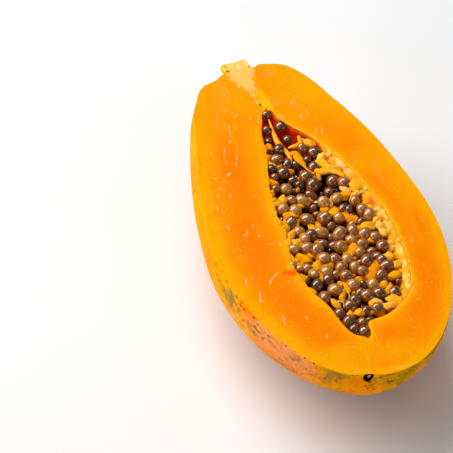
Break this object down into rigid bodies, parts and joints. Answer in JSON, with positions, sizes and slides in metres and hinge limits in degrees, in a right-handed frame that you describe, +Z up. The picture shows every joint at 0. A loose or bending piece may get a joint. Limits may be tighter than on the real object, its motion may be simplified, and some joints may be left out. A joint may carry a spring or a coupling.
{
  "type": "papaya half",
  "caption": "Ripe papaya cut lengthwise, lying on its back: orange flesh in a thin peel, an open cavity heaped with dark seeds, and a stub of stalk at the stem end.",
  "frame": {"origin": "middle of the small flat on the fruit's round back, on the surface that it lies on", "axes": "+Y along the fruit toward the stem end, +Z up, square to the cut face"},
  "size_m": [0.1122, 0.2104, 0.0524],
  "materials": {
    "flesh": "moist cut fruit flesh inside a thin waxy peel",
    "seeds": "wet seeds in clear gel skins",
    "stalk": "dry cut stalk"
  },
  "bodies": {
    "root": {"flesh_half": "flesh", "seed_heap": "seeds", "stem_stub": "stalk"}
  },
  "joints": []
}
